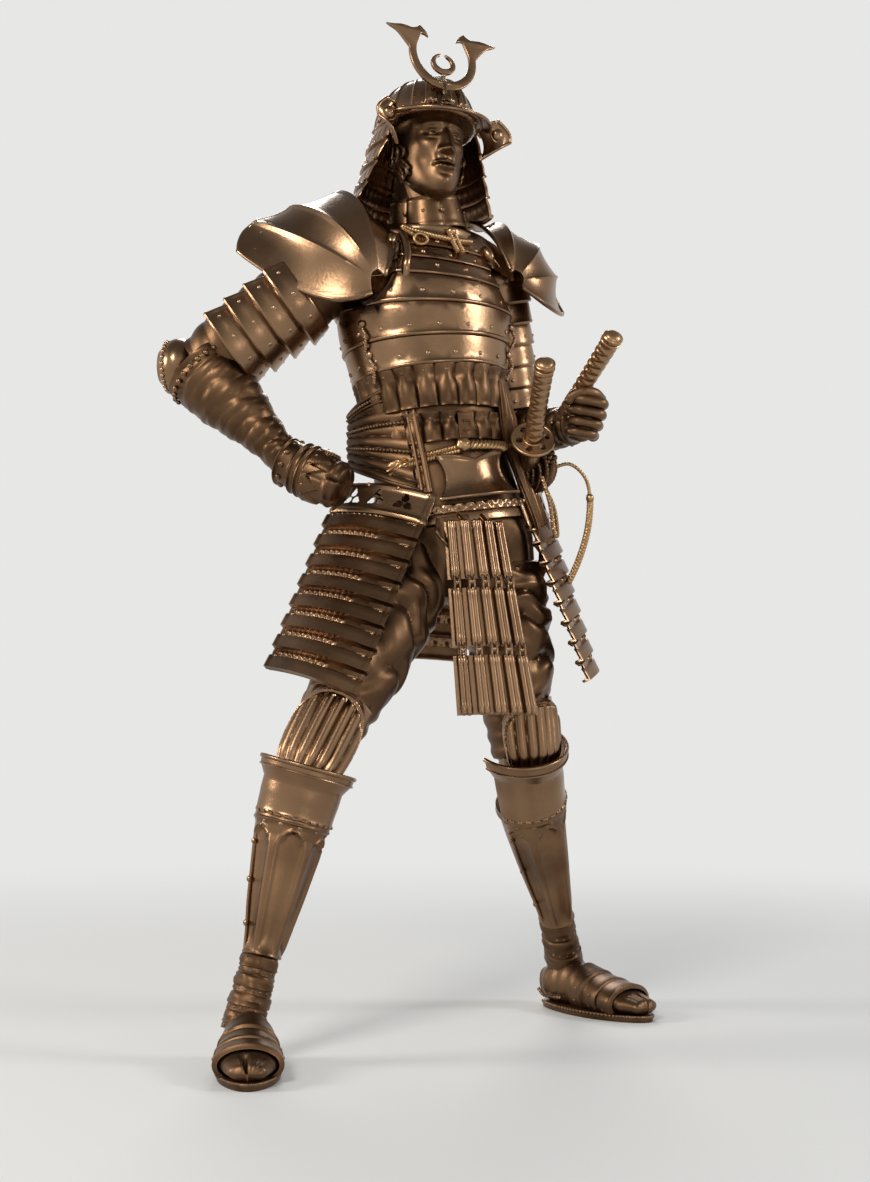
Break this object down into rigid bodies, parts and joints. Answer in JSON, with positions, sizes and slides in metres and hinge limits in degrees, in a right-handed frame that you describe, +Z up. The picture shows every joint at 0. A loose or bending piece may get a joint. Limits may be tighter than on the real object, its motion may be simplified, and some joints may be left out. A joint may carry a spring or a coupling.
{
  "type": "life-size bronze samurai statue",
  "caption": "Free-standing bronze statue of a warrior in plate armour and horned helmet, one hand on the hip and the other gripping a sheathed sword, feet planted apart.",
  "frame": {"origin": "on the ground, in the middle of the statue's box", "axes": "+Z up, the statue faces -Y, its left hand is towards +X"},
  "size_m": [1.0081, 0.8235, 1.9268],
  "materials": {
    "polished_plate_bronze": "polished bronze armour plates under a warm brown patina",
    "dark_cloth_bronze": "satin dark brown bronze, cast as cloth, straps and wraps",
    "figure_bronze": "satin bronze skin",
    "cord_bronze": "satin bronze, cast as twisted cords",
    "sword_bronze": "satin bronze with rubbed bright ridges"
  },
  "bodies": {
    "root": {"back_skirt": "polished_plate_bronze", "belly_plate": "polished_plate_bronze", "collar": "dark_cloth_bronze", "cord_loop": "cord_bronze", "crest_horns": "polished_plate_bronze", "crest_ring": "polished_plate_bronze", "cuirass": "polished_plate_bronze", "head": "figure_bronze", "helmet_bowl": "polished_plate_bronze", "hip_belt": "polished_plate_bronze", "left_ankle_wraps": "dark_cloth_bronze", "left_foot": "figure_bronze", "left_forearm": "dark_cloth_bronze", "left_greave": "polished_plate_bronze", "left_hand": "figure_bronze", "left_helmet_wing": "polished_plate_bronze", "left_knee_cup": "polished_plate_bronze", "left_knee_plate": "polished_plate_bronze", "left_lapel": "dark_cloth_bronze", "left_pauldron": "polished_plate_bronze", "left_sandal": "dark_cloth_bronze", "left_tasset_lames": "polished_plate_bronze", "left_tasset_plate": "polished_plate_bronze", "left_trouser_leg": "dark_cloth_bronze", "left_upper_arm": "polished_plate_bronze", "long_hilt": "sword_bronze", "long_scabbard": "sword_bronze", "lower_waist_strips": "dark_cloth_bronze", "neck_cord": "cord_bronze", "neck_guard": "polished_plate_bronze", "right_ankle_wraps": "dark_cloth_bronze", "right_arm_lames": "polished_plate_bronze", "right_elbow_cap": "polished_plate_bronze", "right_foot": "figure_bronze", "right_forearm": "dark_cloth_bronze", "right_gauntlet": "dark_cloth_bronze", "right_greave": "polished_plate_bronze", "right_helmet_wing": "polished_plate_bronze", "right_knee_cup": "polished_plate_bronze", "right_knee_plate": "polished_plate_bronze", "right_pauldron": "polished_plate_bronze", "right_sandal": "dark_cloth_bronze", "right_tasset_lames": "polished_plate_bronze", "right_tasset_plate": "polished_plate_bronze", "right_trouser_leg": "dark_cloth_bronze", "right_upper_arm": "dark_cloth_bronze", "short_guard": "sword_bronze", "short_hilt": "sword_bronze", "short_scabbard": "sword_bronze", "side_cord": "cord_bronze", "side_panel": "dark_cloth_bronze", "skirt_row_1": "polished_plate_bronze", "skirt_row_2": "polished_plate_bronze", "skirt_row_3": "polished_plate_bronze", "sword_cloth": "dark_cloth_bronze", "tassel_cord": "cord_bronze", "trouser_seat": "dark_cloth_bronze", "upper_waist_strips": "dark_cloth_bronze", "vest_corner": "dark_cloth_bronze", "waist_rope": "cord_bronze"}
  },
  "joints": []
}
